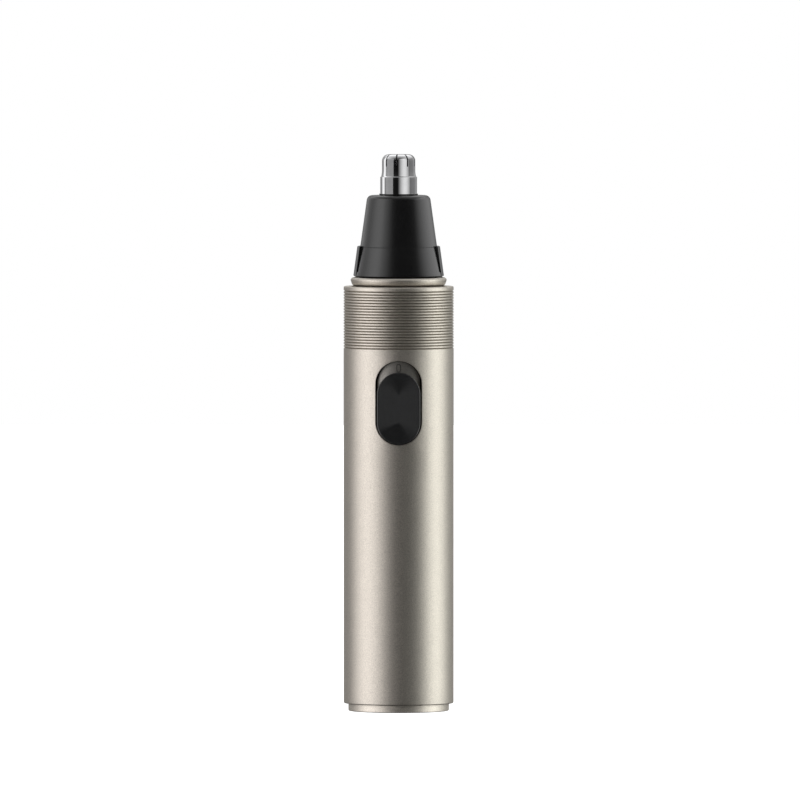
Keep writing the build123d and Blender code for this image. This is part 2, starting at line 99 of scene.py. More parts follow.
def shade(mesh, sharp, triangles=False):
    """Welds a mesh and smooths it, except at edges that turn by more than `sharp` degrees.

    Tool bodies ask for triangles, because a boolean with bent quads leaves flawed edges.
    """
    bm = bmesh.new()
    bm.from_mesh(mesh)
    bmesh.ops.remove_doubles(bm, verts=bm.verts, dist=1e-7)
    bmesh.ops.dissolve_degenerate(bm, edges=bm.edges, dist=1e-8)
    bmesh.ops.recalc_face_normals(bm, faces=bm.faces)
    if triangles:
        bmesh.ops.triangulate(bm, faces=bm.faces)
    for face in bm.faces:
        face.smooth = True
    for edge in bm.edges:
        edge.smooth = not edge.is_manifold or edge.calc_face_angle(0) < radians(sharp)
    bm.to_mesh(mesh)
    bm.free()


def mesh_piece(name, verts, faces, body, nodes, slot, finish, sharp=32):
    """A piece from points in millimetres, with edges past `sharp` degrees kept crisp."""
    mesh = bpy.data.meshes.new(name)
    mesh.from_pydata([Vector(v) * MM for v in verts], [], faces)
    mesh.validate()
    shade(mesh, sharp)
    piece = bpy.data.objects.new(name, mesh)
    bpy.context.scene.collection.objects.link(piece)
    piece.data.materials.append(finish)
    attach(piece, body)
    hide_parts(*nodes)
    return piece


def arc(centre, radius, start, end, steps=6):
    """Points round part of a circle in a (radius, height) outline, angles in degrees."""
    points = []
    for index in range(steps + 1):
        angle = radians(start + (end - start) * index / steps)
        points.append((centre[0] + radius * cos(angle), centre[1] + radius * sin(angle)))
    return points


def turned_grid(outline, columns=COLUMNS):
    """Points and faces of a closed (radius, height) outline turned about Z."""
    verts, faces = [], []
    rows = len(outline)
    for column in range(columns):
        angle = 2 * pi * column / columns
        verts += [(r * sin(angle), -r * cos(angle), z) for r, z in outline]
    for column in range(columns):
        here, there = column * rows, (column + 1) % columns * rows
        for row in range(rows):
            up = (row + 1) % rows
            if outline[row][0] < 1e-6 and outline[up][0] < 1e-6:
                continue
            faces.append((here + row, there + row, there + up, here + up))
    return verts, faces


def prism(levels, outline_at):
    """A closed solid between the outlines at its levels, as points and faces."""
    verts, faces, loops = [], [], []
    for level in levels:
        start = len(verts)
        verts += outline_at(level)
        loops.append(list(range(start, len(verts))))
    bridge(loops, faces)
    return verts, faces + [tuple(reversed(loops[0])), tuple(loops[-1])]


def tool_body(verts, faces):
    """A shape that only cuts or joins other pieces, from points in millimetres."""
    mesh = bpy.data.meshes.new("tool_body")
    mesh.from_pydata([Vector(v) * MM for v in verts], [], faces)
    shade(mesh, 32, triangles=True)
    body = bpy.data.objects.new("tool_body", mesh)
    bpy.context.scene.collection.objects.link(body)
    return body


def combine(piece, bodies, operation, sharp=32):
    """Cuts the tool bodies from a piece, or joins them to it, and removes them."""
    for body in bodies:
        step = piece.modifiers.new("combine", "BOOLEAN")
        step.operation = operation
        step.solver = "EXACT"
        step.object = body
    depsgraph = bpy.context.evaluated_depsgraph_get()
    mesh = bpy.data.meshes.new_from_object(piece.evaluated_get(depsgraph))
    piece.modifiers.clear()
    piece.data = mesh
    shade(mesh, sharp)
    for body in bodies:
        bpy.data.objects.remove(body)


def cut(piece, bodies, sharp=32):
    """Cuts the tool bodies from a piece."""
    combine(piece, bodies, "DIFFERENCE", sharp)


def helical_key(inner, outer, low, high, half_angle, start):
    """A short key on the right-hand helix that the head and the battery cap turn on."""

    def outline_at(level):
        bearing = 360 * (start / THREAD_STARTS + level / THREAD_LEAD)
        angles = [radians(bearing + half_angle * i / 6) for i in range(-6, 7)]
        points = [(outer * cos(a), outer * sin(a), level) for a in angles]
        return points + [(inner * cos(a), inner * sin(a), level) for a in reversed(angles)]

    return tool_body(*prism([low + (high - low) * i / 10 for i in range(11)], outline_at))


def stadium(half_width, reach, count):
    """Points round an upright stadium, level from side to side, each with its outward direction."""
    straight, curve = 2 * reach, pi * half_width
    rungs = round(count / 2 * straight / (straight + curve))
    bends = count // 2 - rungs
    points = []
    for side in (1, -1):
        for index in range(rungs):
            points.append(((side * half_width, side * (straight * index / rungs - reach)), (side, 0)))
        for index in range(bends):
            angle = pi * index / bends
            out = (side * cos(angle), side * sin(angle))
            points.append(((out[0] * half_width, side * reach + out[1] * half_width), out))
    return points


def bridge(loops, faces):
    """Quads between closed loops of point numbers that all have the same length."""
    for first, second in zip(loops, loops[1:]):
        count = len(first)
        for i in range(count):
            j = (i + 1) % count
            faces.append((first[i], first[j], second[j], second[i]))


# ---- Barrel ----


def groove_cut(level):
    """How far the turned grip grooves cut in at a height. Each one is a V with straight walls."""
    nearest = min(max(round((GROOVE_TOP - level) / GROOVE_PITCH), 0), GROOVES - 1)
    away = abs(level - (GROOVE_TOP - nearest * GROOVE_PITCH)) / GROOVE_REACH
    return GROOVE_DEPTH * (1 - min(away, 1))


def on_cylinder(radius, x, z):
    """The point at x and z on the front of a cylinder about Z."""
    return (x, -sqrt(radius**2 - x**2), z)


def barrel_sleeve(finish):
    """The tube with its grooves, and a switch slot whose edge is broken by a small round."""
    window_half, steps = 11.0, 22
    foot_round, top_round, lip_round = 0.28, 0.3, 0.12
    low, high = SLOT_MIDDLE - window_half, SLOT_MIDDLE + window_half
    levels = [low + (high - low) * i / steps for i in range(steps + 1)]
    grooved = []
    for index in reversed(range(GROOVES)):
        middle = GROOVE_TOP - index * GROOVE_PITCH
        grooved += [middle + GROOVE_REACH * i / 2 for i in range(-2, 3)]
    outline = arc((BARREL_R - foot_round, BARREL_BOTTOM + foot_round), foot_round, -90, 0)
    outline += [(BARREL_R, z) for z in (4, 20, 36, 48)]
    outer_start = len(outline)
    outline += [(BARREL_R, z) for z in levels]
    outline += [(BARREL_R - groove_cut(z), z) for z in grooved]
    outline += arc((BARREL_R - top_round, BARREL_TOP - top_round), top_round, 0, 90)
    outline += arc((LIP_R + lip_round, BARREL_TOP - lip_round), lip_round, 90, 180, 3)
    outline += [(LIP_R, LIP_BOTTOM), (BARREL_BORE, LIP_BOTTOM)]
    inner_start = len(outline)
    outline += [(BARREL_BORE, z) for z in reversed(levels)]
    outline += [(BARREL_BORE, 36), (BARREL_BORE, BARREL_BOTTOM)]
    verts, faces = turned_grid(outline)

    reach = 17  # columns to each side of the front that the slot's window takes
    rows = len(outline)
    window = set()
    for column in range(-reach, reach):
        for row in range(steps):
            window.add((column % COLUMNS, outer_start + row))
            window.add((column % COLUMNS, inner_start + row))
    faces = [f for f in faces if (f[0] // rows, f[0] % rows) not in window]

    rim = [(c, 0) for c in range(-reach, reach)]
    rim += [(reach, r) for r in range(steps)]
    rim += [(c, steps) for c in range(reach, -reach, -1)]
    rim += [(-reach, r) for r in range(steps, 0, -1)]
    outer = [c % COLUMNS * rows + outer_start + r for c, r in rim]
    inner = [c % COLUMNS * rows + inner_start + steps - r for c, r in rim]

    def nearest_on_slot(number):
        """The outward direction and the point on the slot's edge that are nearest to a vertex."""
        x, _, z = verts[number]
        middle = SLOT_MIDDLE + max(-SLOT_REACH, min(SLOT_REACH, z - SLOT_MIDDLE))
        far = sqrt(x**2 + (z - middle) ** 2)
        out = (x / far, (z - middle) / far)
        return out, (out[0] * SLOT_HALF, middle + out[1] * SLOT_HALF)

    def loop(place):
        """A ring round the slot, with a point for each vertex of the window's outer rim."""
        start = len(verts)
        for number in outer:
            out, edge = nearest_on_slot(number)
            verts.append(place(verts[number], out, edge))
        return list(range(start, start + len(outer)))

    def blended(share):
        def place(corner, out, edge):
            x = edge[0] + out[0] * SLOT_ROUND
            z = edge[1] + out[1] * SLOT_ROUND
            return on_cylinder(BARREL_R, x + (corner[0] - x) * share, z + (corner[2] - z) * share)

        return place

    def rounded(angle):
        def place(corner, out, edge):
            away = SLOT_ROUND * (1 - sin(angle))
            depth = SLOT_ROUND * (1 - cos(angle))
            return on_cylinder(BARREL_R - depth, edge[0] + out[0] * away, edge[1] + out[1] * away)

        return place

    def at_bore(corner, out, edge):
        return on_cylinder(BARREL_BORE, edge[0], edge[1])

    loops = [outer] + [loop(blended(share)) for share in (0.6, 0.3, 0.1)]
    loops += [loop(rounded(radians(angle))) for angle in range(0, 91, 15)]
    loops += [loop(at_bore), inner]
    bridge(loops, faces)
    return mesh_piece(
        "barrel", verts, faces, "housing", ["barrel_sleeve"], "champagne_metal", finish, sharp=40
    )


def neck_ring(finish):
    """The waisted trim ring, with a rolled upper edge."""
    neck_r = 8.0
    top, waist = neck_high.z, LIP_R - 0.08
    outline = [(neck_r, neck_low.z), (neck_high.x, neck_low.z)]
    outline += [(neck_high.x, LIP_BOTTOM), (waist, LIP_BOTTOM)]
    outline += [(9.75, BARREL_TOP - 0.25), (waist - 0.2, BARREL_TOP + 0.28)]
    outline += [(waist - 0.1, BARREL_TOP + 0.36), (waist, BARREL_TOP + 0.5)]
    outline += [(10.47, 95.35), (10.57, 95.6), (10.64, 95.85)]
    outline += arc((10.25, 96.02), 0.45, -18, 60, 9)
    outline += arc((10.22, 96.3), 0.28, 60, 110, 4)
    outline += [(10.05, top - 0.45), (neck_r, top - 0.45)]
    return mesh_piece(
        "neck_trim_ring", *turned_grid(outline), "housing", ["neck_ring"], "champagne_metal", finish
    )


# ---- Thumb switch ----


def facing_prism(near, far, outline):
    """A tool body that runs from y = -near to y = -far, with an (x, z) outline."""
    return tool_body(*prism((-near, -far), lambda level: [(x, level, z) for x, z in outline]))


def switch_plate(finish):
    """The curved plate under the button. A pad inside a groove fills the slot, and a bar marks ON."""
    inner_r, low, high = 10.6, 57.5, 80.5
    way_half, way_low, way_high = 1.7, 65.1, 72.75
    half_angle = 41.0
    bearings = [radians(half_angle * i / 40) for i in range(-40, 41)]

    def outline_at(level):
        outer = [(TRACK_R * sin(a), -TRACK_R * cos(a), level) for a in bearings]
        return outer + [(inner_r * sin(a), -inner_r * cos(a), level) for a in reversed(bearings)]

    body = prism((low, high), outline_at)
    plate = mesh_piece("switch_plate", *body, "housing", ["switch_track"], "recess_plastic", finish)
    way = [(-way_half, way_low), (way_half, way_low), (way_half, way_high), (-way_half, way_high)]

    def groove(half_width, reach, middle, width, depth, count):
        """The space of a line engraved along the outside of a stadium."""

        def outline(grow):
            return [(x, z + middle) for (x, z), _ in stadium(half_width + grow, reach, count)]

        floor_r, past = TRACK_R - depth, TRACK_R + 1
        skin = tool_body(*turned_grid([(floor_r, low), (past, low), (past, high), (floor_r, high)]))
        body = facing_prism(1, 15, outline(width))
        combine(body, [facing_prism(0.5, 16, outline(0))], "DIFFERENCE")
        combine(body, [skin], "INTERSECT")
        return body

    pad = groove(SLOT_HALF - 0.32, SLOT_REACH, SLOT_MIDDLE + 0.2, width=0.55, depth=0.45, count=120)
    mark = groove(half_width=0.33, reach=0.42, middle=76.75, width=0.18, depth=0.16, count=40)
    cut(plate, [facing_prism(8, 15, way), pad, mark])
    return plate


def thumb_button(finish):
    """The button's shell: a round-ended block with a broken outer edge and a hollow of two cones."""
    half = button_high.x
    reach = (button_high.z - button_low.z) / 2 - half
    middle = (button_high.z + button_low.z) / 2
    face_y = button_low.y
    under_r = TRACK_R + 0.08
    rim, dish, edge, blend = 0.32, 0.8, 0.27, 0.08
    count, steps = 192, 24
    outline = stadium(half, reach, count)
    verts, faces, loops = [], [], []

    def loop(inset, depth=None):
        """A ring that far in from the edge, at a depth below the top face or on the underside."""
        start = len(verts)
        for (x, z), out in outline:
            px, pz = x - out[0] * inset, z - out[1] * inset + middle
            y = -sqrt(under_r**2 - px**2) if depth is None else face_y + depth
            verts.append((px, y, pz))
        loops.append(list(range(start, start + count)))

    for share in (1.0, 0.8, 0.5, 0.2, 0.0):
        loop(half * share)
    for angle in range(0, 91, 15):
        loop(edge * (1 - cos(radians(angle))), edge * (1 - sin(radians(angle))))
    flat = rim - 0.05
    loop(flat, 0.0)
    for share in (0.5, 1.0):
        loop(flat + blend * share, dish * (blend * share) ** 2 / (2 * blend * (half - rim)))
    inside = flat + blend
    start_depth = dish * blend / (2 * (half - rim))
    for index in range(1, steps + 1):
        share = index / steps
        loop(inside + (half - inside) * share, start_depth + (dish - start_depth) * share)
    bridge(loops, faces)
    return mesh_piece(
        "thumb_button", verts, faces, "thumb_switch", ["switch_button"], "switch_plastic", finish, sharp=17
    )


def thumb_stem(finish):
    """The stem that joins the button to the slider through the recess floor."""
    half_width, half_height, broken_edge = 1.5, 2.5, 0.15
    middle = (button_high.z + button_low.z) / 2
    heights = (middle - half_height, middle + half_height)
    outline = [(x, z) for x in (-half_width, half_width) for z in heights]
    levels = (-(TRACK_R + 0.1), button_high.y)
    verts = [(x, y, z) for y in levels for x, z in outline]
    faces = [(0, 1, 3, 2), (4, 6, 7, 5), (0, 4, 5, 1), (1, 5, 7, 3), (3, 7, 6, 2), (2, 6, 4, 0)]
    piece = mesh_piece(
        "thumb_stem", verts, faces, "thumb_switch", ["switch_button"], "switch_plastic", finish
    )
    broken = piece.modifiers.new("broken_edges", "BEVEL")
    broken.width = broken_edge * MM
    broken.segments = 3
    return piece


# ---- Head ----

HEAD_SEAM = 103.35
PAD_TOP = 103.6
BAND_FOOT_R = 10.03
BAND_TOP_R = 8.66
SLIT_FLOOR = 8.45
SLIT_FOOT = 97.9
WAY_R = 8.75
WAY_TOP = 99.15


def band_r(level):
    """The grip ring's outside radius between its tongues."""
    height = HEAD_SEAM - grip_low.z
    return BAND_FOOT_R - (BAND_FOOT_R - BAND_TOP_R) * (level - grip_low.z) / height


def tongue_r(level):
    """The outside radius of a finger tongue, which runs out into the band at its foot."""
    foot_r, top_r, foot, rise = 10.06, 9.25, 97.2, 6.0
    return max(band_r(level), foot_r - (foot_r - top_r) * (level - foot) / rise)


def slit_floor(level):
    """The radius of a slit's floor, which keeps a wall outside the ways in the bore."""
    if level <= SLIT_FOOT:
        return band_r(level)
    return WAY_R + 0.13 if level < WAY_TOP + 0.2 else SLIT_FLOOR


def slit_bearing(level, outer):
    """How far round from the front a slit's edge is, in degrees: it closes up towards the top."""
    foot, top = (71.4, 70.9) if outer else (66.9, 68.9)
    return foot + (top - foot) * (level - SLIT_FOOT) / (HEAD_SEAM - SLIT_FOOT)


def band_columns():
    """For a quarter turn from the front to a side: each column's kind and its share across that kind."""
    columns = [("band", i / 12) for i in range(12)]
    columns += [("band_edge", i / 4) for i in range(5)]
    columns += [("slit", i / 3) for i in range(4)]
    columns += [("tongue_edge", i / 4) for i in range(5)]
    return columns + [("tongue", i / 5) for i in range(1, 5)]


def band_point(kind, share, level):
    """A column's bearing from the front in degrees, and its radius, at a height on the outside."""
    broken = 0.09  # radius of the broken edges, in millimetres
    turn = broken / band_r(level) * 180 / pi
    angle = pi / 2 * share
    floor = slit_floor(level)
    if kind == "band":
        return (slit_bearing(level, False) - turn) * share, band_r(level)
    if kind == "band_edge":
        bearing = slit_bearing(level, False) - turn + turn * sin(angle)
        return bearing, max(floor, band_r(level) - broken * (1 - cos(angle)))
    if kind == "slit":
        near, far = slit_bearing(level, False), slit_bearing(level, True)
        return near + (far - near) * share, floor
    if kind == "tongue_edge":
        bearing = slit_bearing(level, True) + turn * (1 - cos(angle))
        return bearing, max(floor, tongue_r(level) - broken * (1 - sin(angle)))
    edge = slit_bearing(level, True) + turn
    return edge + (90 - edge) * share, tongue_r(level)


def grip_ring(finish):
    """The head's lower band: two finger tongues, a skirt below, and helical ways cut in its bore."""
    bore, collar_r, nose_r, seal_r, skirt = 8.15, 8.0, 7.45, 8.05, 0.28
    way_inner, way_low, way_half_angle = 7.9, 96.3, 21.5
    levels = [grip_low.z + 0.15 + 0.5 * i for i in range(2)] + [97.88, SLIT_FOOT + 0.001]
    levels += [98.3 + 0.5 * i for i in range(10)] + [103.1]
    quarter = band_columns()
    turns = [(1, k, s) for k, s in quarter] + [(1, "side", 0)]
    turns += [(-1, k, s) for k, s in reversed(quarter[1:])]
    columns = []
    for half_turn in (0, 180):
        columns += [(half_turn, way, kind, share) for way, kind, share in turns]
    verts, faces = [], []
    rows = 0
    for half_turn, way, kind, share in columns:
        at = ("tongue", 1.0) if kind == "side" else (kind, share)
        raised = at[0] in ("tongue", "tongue_edge")
        outline = []
        bearing, radius = band_point(*at, grip_low.z)
        outline.append((bearing, radius - 0.15, grip_low.z))
        outline.append((bearing, radius - 0.05, grip_low.z + 0.04))
        for level in levels:
            outline.append((*band_point(*at, level), level))
        bearing, radius = band_point(*at, HEAD_SEAM - 0.12)
        top = PAD_TOP if raised else HEAD_SEAM
        lip = min(0.3 if raised else 0.1, radius - SLIT_FLOOR)
        for angle in (0, 22.5, 45, 67.5, 90):
            a = radians(angle)
            outline.append((bearing, radius - lip * (1 - cos(a)), top - lip * (1 - sin(a))))
        inner_top = min(8.68 if raised else 8.3, radius - lip)
        outline.append((bearing, inner_top, top))
        outline.append((bearing, inner_top, HEAD_SEAM))
        for r, z in (
            (collar_r, HEAD_SEAM),
            (collar_r, 102.35),
            (nose_r, 102.35),
            (nose_r, 101.8),
            (seal_r, 101.8),
            (seal_r, 101.0),
            (nose_r, 101.0),
            (nose_r, 100.35),
            (bore, 100.35),
            (bore, grip_low.z - skirt),
            (9.6, grip_low.z - skirt),
        ):
            outline.append((bearing, r, z))
        rows = len(outline)
        for bearing, r, z in outline:
            angle = radians(half_turn + (bearing if way > 0 else 180 - bearing))
            verts.append((r * sin(angle), -r * cos(angle), z))
    for column in range(len(columns)):
        here, there = column * rows, (column + 1) % len(columns) * rows
        for row in range(rows):
            up = (row + 1) % rows
            faces.append((here + row, there + row, there + up, here + up))
    piece = mesh_piece("grip_band", verts, faces, "head", ["grip_ring"], "head_plastic", finish)
    ways = []
    for start in range(THREAD_STARTS):
        ways.append(helical_key(way_inner, WAY_R, way_low, WAY_TOP, way_half_angle, start))
    cut(piece, ways)
    return piece


def head_cone(finish):
    """The head's upper shell: a cone with a round shoulder, and a low flared lip round the blade."""
    slope, foot_r, wall, shoulder = 7.9, 8.57, 1.2, 1.2
    hole_r, collar_r, seat, lip = 4.15, 8.0, 113.6, 0.32

    def outer(level):
        return foot_r - tan(radians(slope)) * (level - HEAD_SEAM)

    round_z = cone_high.z - shoulder
    round_r = outer(round_z) - shoulder / cos(radians(slope))
    outline = [(collar_r, cone_low.z), (collar_r, HEAD_SEAM)]
    outline += arc((outer(HEAD_SEAM) - 0.1, HEAD_SEAM + 0.1), 0.1, -90, slope, 4)
    outline += [(outer(HEAD_SEAM + 1.6 * i), HEAD_SEAM + 1.6 * i) for i in range(1, 6)]
    outline += arc((round_r, round_z), shoulder, slope, 90, 12)
    outline += [(hole_r + 0.04, cone_high.z), (hole_r + 0.22, cone_high.z + lip - 0.05)]
    outline += [(hole_r + 0.2, cone_high.z + lip), (hole_r, cone_high.z + lip)]
    outline += [(hole_r, seat), (outer(seat) - wall, seat)]
    outline += [(outer(HEAD_SEAM) - wall, HEAD_SEAM), (outer(HEAD_SEAM) - wall, cone_low.z)]
    return mesh_piece("head_shell", *turned_grid(outline), "head", ["head_cone"], "head_plastic", finish)


# ---- Blade ----


def blade_slot(bearing):
    """The space of one cutting slot: up the side, over the dome and in along the top."""
    half, foot, inner, above, outside = 0.17, 121.3, 1.35, 125, 6
    angle = radians(bearing)
    profile = []
    for turn in range(-90, 91, 15):
        profile.append((half * sin(radians(turn)), foot + half - half * cos(radians(turn))))
    profile += [(half, above), (-half, above)]
    rounds = []
    for turn in range(90, -1, -15):
        rounds.append((inner + half - half * sin(radians(turn)), max(cos(radians(turn)), 0.02)))

    def section(step):
        radius, share = step
        return [
            (cos(angle) * s * share + sin(angle) * radius, sin(angle) * s * share - cos(angle) * radius, z)
            for s, z in profile
        ]

    return tool_body(*prism(rounds + [(outside, 1)], section))


def outer_blade(finish):
    """The chromed guard: a collar that tapers to a domed tube, with nine slots for the hair."""
    slots, first = 9, -47.7
    top, wall, corner, tube_r = blade_high.z, 0.35, 1.45, 3.71
    centre = (tube_r - corner, top - corner)
    bore_r, flange_top, collar_r = 3.6, 113.6, 4.10
    outline = [(bore_r, blade_low.z), (blade_high.x, blade_low.z)]
    outline += [(blade_high.x, flange_top), (collar_r, flange_top)]
    outline += [(collar_r, z) for z in (115, 117, 118.4)]
    outline += arc((4.06, 118.96), 0.04, 0, 90, 3)
    outline += [(3.96, 119.02), (3.90, 119.1), (3.85, 119.28)]
    outline += [(3.80, 119.5), (3.76, 119.75), (3.73, 120.0)]
    outline += [(tube_r, z) for z in (120.3, 120.7, 121.2, 121.8, 122.3)]
    outline += arc(centre, corner, 0, 90, 16) + [(r, top) for r in (1.6, 0.9, 0.3, 0)]
    outline += [(r, top - wall) for r in (0, 0.9, 1.6)] + arc(centre, corner - wall, 90, 0, 12)
    outline += [(tube_r - wall, 119.0), (bore_r, 118.6)]
    piece = mesh_piece(
        "blade_guard", *turned_grid(outline, 216), "head", ["outer_blade"], "blade_chrome", finish
    )
    cut(piece, [blade_slot(first + 360 * index / slots) for index in range(slots)], sharp=30)
    return piece


# ---- Battery cap ----


def battery_cap(finish):
    """The twist-off base: a rim with broken edges, a spigot with three lugs and a coin slot below."""
    rim_r, rim_top, spigot_r, groove_r, nose_r, cup_r = cap_high.x, 3.0, 9.35, 8.38, 8.95, 7.9
    lug_r, lug_low, lug_high, lug_half_angle = 9.95, 5.2, 6.5, 18
    slot_half_length, slot_half_width, slot_depth, slot_edge = 7.0, 1.1, 1.1, 0.12
    outline = [(r, 0) for r in (0, 4, 8)] + arc((rim_r - 0.25, 0.25), 0.25, -90, 0)
    outline += arc((rim_r - 0.1, rim_top - 0.1), 0.1, 0, 90, 3)
    outline += [(spigot_r, rim_top)] + arc((spigot_r - 0.1, 7.25), 0.1, 0, 90, 3)
    outline += [(nose_r, 7.35), (nose_r, 7.62), (groove_r, 7.62), (groove_r, 8.38), (nose_r, 8.38)]
    outline += arc((nose_r - 0.1, cap_high.z - 0.1), 0.1, 0, 90, 3)
    outline += [(cup_r, cap_high.z), (cup_r, 2.0), (0, 2.0)]
    piece = mesh_piece(
        "twist_cap", *turned_grid(outline), "cap", ["battery_cap"], "champagne_cap", finish
    )
    lugs = []
    for start in range(THREAD_STARTS):
        lugs.append(helical_key(spigot_r - 0.3, lug_r, lug_low, lug_high, lug_half_angle, start))
    combine(piece, lugs, "UNION")

    def coin_slot(level):
        spread = max(0, slot_edge - level)
        x, y = slot_half_length + spread, slot_half_width + spread
        return [(x, -y, level), (x, y, level), (-x, y, level), (-x, -y, level)]

    cut(piece, [tool_body(*prism((-0.5, slot_edge, slot_depth), coin_slot))])
    return piece


# ---- Materials ----


class Finish:
    """A Principled material with patterns of colour, roughness and relief in the piece's own space."""

    def __init__(self, name, **fixed):
        self.material = bpy.data.materials.new(name)
        self.material.use_nodes = True
        self.tree = self.material.node_tree
        self.shader = self.tree.nodes["Principled BSDF"]
        for socket, value in fixed.items():
            self.shader.inputs[socket.replace("_", " ")].default_value = value
        self.place = self.tree.nodes.new("ShaderNodeTexCoord").outputs["Object"]

    def node(self, kind, source, socket=0, **values):
        """A node of that kind, fed by a source, with values on its other sockets."""
        made = self.tree.nodes.new(kind)
        self.tree.links.new(source, made.inputs[socket])
        for name, value in values.items():
            made.inputs[name.replace("_", " ")].default_value = value
        return made

    def noise(self, grain, detail=2.0, stretch=(1, 1, 1)):
        """Noise with spots about `grain` millimetres across, drawn out where stretch is above 1."""
        mapping = self.node("ShaderNodeMapping", self.place, "Vector")
        mapping.inputs["Scale"].default_value = [1 / s for s in stretch]
        texture = self.node("ShaderNodeTexNoise", mapping.outputs[0], "Vector", Detail=detail)
        texture.inputs["Scale"].default_value = 1 / (grain * MM)
        return texture.outputs[0]

    def bands(self, spacing, rings=False, waver=0.0):
        """Even bands, that many millimetres apart, across Z or as rings round it."""
        texture = self.node("ShaderNodeTexWave", self.place, "Vector", Distortion=waver)
        texture.wave_type = "RINGS" if rings else "BANDS"
        texture.bands_direction = "Z"
        texture.rings_direction = "Z"
        texture.inputs["Scale"].default_value = pi / (10 * spacing * MM)
        return texture.outputs["Fac"]

    def together(self, first, second, share):
        """Two patterns, the second one weighted by its share."""
        mixed = self.tree.nodes.new("ShaderNodeMix")
        mixed.inputs["Factor"].default_value = share
        self.tree.links.new(first, mixed.inputs["A"])
        self.tree.links.new(second, mixed.inputs["B"])
        return mixed.outputs["Result"]

    def colour(self, pattern, dark, light, low=0.35, high=0.65, painted_shade=None):
        """Runs from the dark to the light colour with a pattern, darkened by a mask of painted shade where
        one is given.
        """
        ramp = self.node("ShaderNodeValToRGB", pattern)
        for stop, place, shade in zip(ramp.color_ramp.elements, (low, high), (dark, light)):
            stop.position = place
            stop.color = (*shade, 1)
        colour = ramp.outputs["Color"]
        if painted_shade:
            product = self.node("ShaderNodeVectorMath", colour)
            product.operation = "MULTIPLY"
            self.tree.links.new(painted_shade, product.inputs[1])
            colour = product.outputs[0]
        self.tree.links.new(colour, self.shader.inputs["Base Color"])
        return self

    def painted_depth_shade(self, radius, reach, top):
        """Painted shade for cuts: 1 out at a radius, fading to a tenth as far in as `reach`, but 1 above
        the height `top`.
        """
        flat = self.node("ShaderNodeMapping", self.place, "Vector")
        flat.inputs["Scale"].default_value = (1, 1, 0)
        out = self.node("ShaderNodeVectorMath", flat.outputs[0])
        out.operation = "LENGTH"
        height = self.node("ShaderNodeSeparateXYZ", self.place).outputs["Z"]
        depth = {"From_Min": (radius - reach) * MM, "From_Max": radius * MM, "To_Min": 0.1}
        level = {"From_Min": top * MM, "From_Max": (top + 0.05) * MM}
        both = self.tree.nodes.new("ShaderNodeMath")
        both.operation = "MAXIMUM"
        for index, (source, limits) in enumerate(((out.outputs["Value"], depth), (height, level))):
            share = self.node("ShaderNodeMapRange", source, "Value", **limits)
            self.tree.links.new(share.outputs[0], both.inputs[index])
        return both.outputs[0]

    def roughness(self, pattern, smooth, rough):
        """Runs from the smooth to the rough value with a pattern."""
        limits = {"From_Min": 0.3, "From_Max": 0.7, "To_Min": smooth, "To_Max": rough}
        spread = self.node("ShaderNodeMapRange", pattern, "Value", **limits)
        self.tree.links.new(spread.outputs[0], self.shader.inputs["Roughness"])
        return self

    def relief(self, pattern, height):
        """Bumps that stand up to `height` millimetres proud."""
        bump = self.node("ShaderNodeBump", pattern, "Height", Distance=height * MM)
        self.tree.links.new(bump.outputs[0], self.shader.inputs["Normal"])
        return self


def shades(colour, spread):
    """A colour a little darker and a little lighter than the one given."""
    return [c * (1 - spread) for c in colour], [min(1, c * (1 + spread)) for c in colour]


def blasted_aluminium(name, colour, rough, cuts=None):
    """Bead-blasted, anodised metal: a fine even grain that sparkles, and painted shade that darkens the
    colour inside cuts.
    """
    finish = Finish(name, Metallic=1.0)
    grain = finish.noise(0.19, detail=3)
    # Painted shade: the colour darkens deeper inside cuts.
    painted_shade = cuts and finish.painted_depth_shade(*cuts)
    finish.colour(finish.together(grain, finish.noise(3.0), 0.08), *shades(colour, 0.15), painted_shade=painted_shade)
    finish.roughness(finish.noise(0.3), rough - 0.03, rough + 0.03)
    return finish.relief(grain, 0.02).material


def moulded(
    name, colour, rough, grain=0.12, height=0.002, spread=0.18, vary=0.04, drawn=1, **fixed
):
    """Moulded plastic with a faint flow of tone, and a fine texture that can be drawn out upright."""
    finish = Finish(name, **fixed)
    texture = finish.noise(grain, detail=3, stretch=(1, 1, drawn))
    finish.colour(finish.together(texture, finish.noise(2.5), 0.4), *shades(colour, spread))
    finish.roughness(finish.noise(0.5), rough - vary, rough + vary)
    return finish.relief(texture, height).material


def turned_metal(name, colour, rough, height):
    """Metal with the faint rings that turning and polishing leave round it."""
    finish = Finish(name, Metallic=1.0)
    rings = finish.noise(0.05, detail=2, stretch=(40, 40, 1))
    finish.colour(finish.noise(1.2), *shades(colour, 0.03))
    finish.roughness(rings, max(0.02, rough - 0.03), rough + 0.03)
    return finish.relief(rings, height).material


def sheet_metal(name, colour, rough):
    """Rolled strip or plated sheet, with fine lines drawn out upright."""
    finish = Finish(name, Metallic=1.0)
    lines = finish.noise(0.07, detail=3, stretch=(1, 1, 30))
    finish.colour(finish.together(lines, finish.noise(1.5), 0.5), *shades(colour, 0.1))
    finish.roughness(lines, rough - 0.06, rough + 0.06)
    return finish.relief(lines, 0.002).material


def banded(name, colour, rough, spacing, height, metallic=1.0, **bands):
    """Stacked sheets or wound wire: even bands with dark lines between them."""
    finish = Finish(name, Metallic=metallic)
    stack = finish.bands(spacing, **bands)
    finish.colour(finish.together(stack, finish.noise(0.4), 0.3), *shades(colour, 0.35), 0.1, 0.6)
    finish.roughness(finish.noise(0.3), rough - 0.05, rough + 0.05)
    return finish.relief(stack, height).material


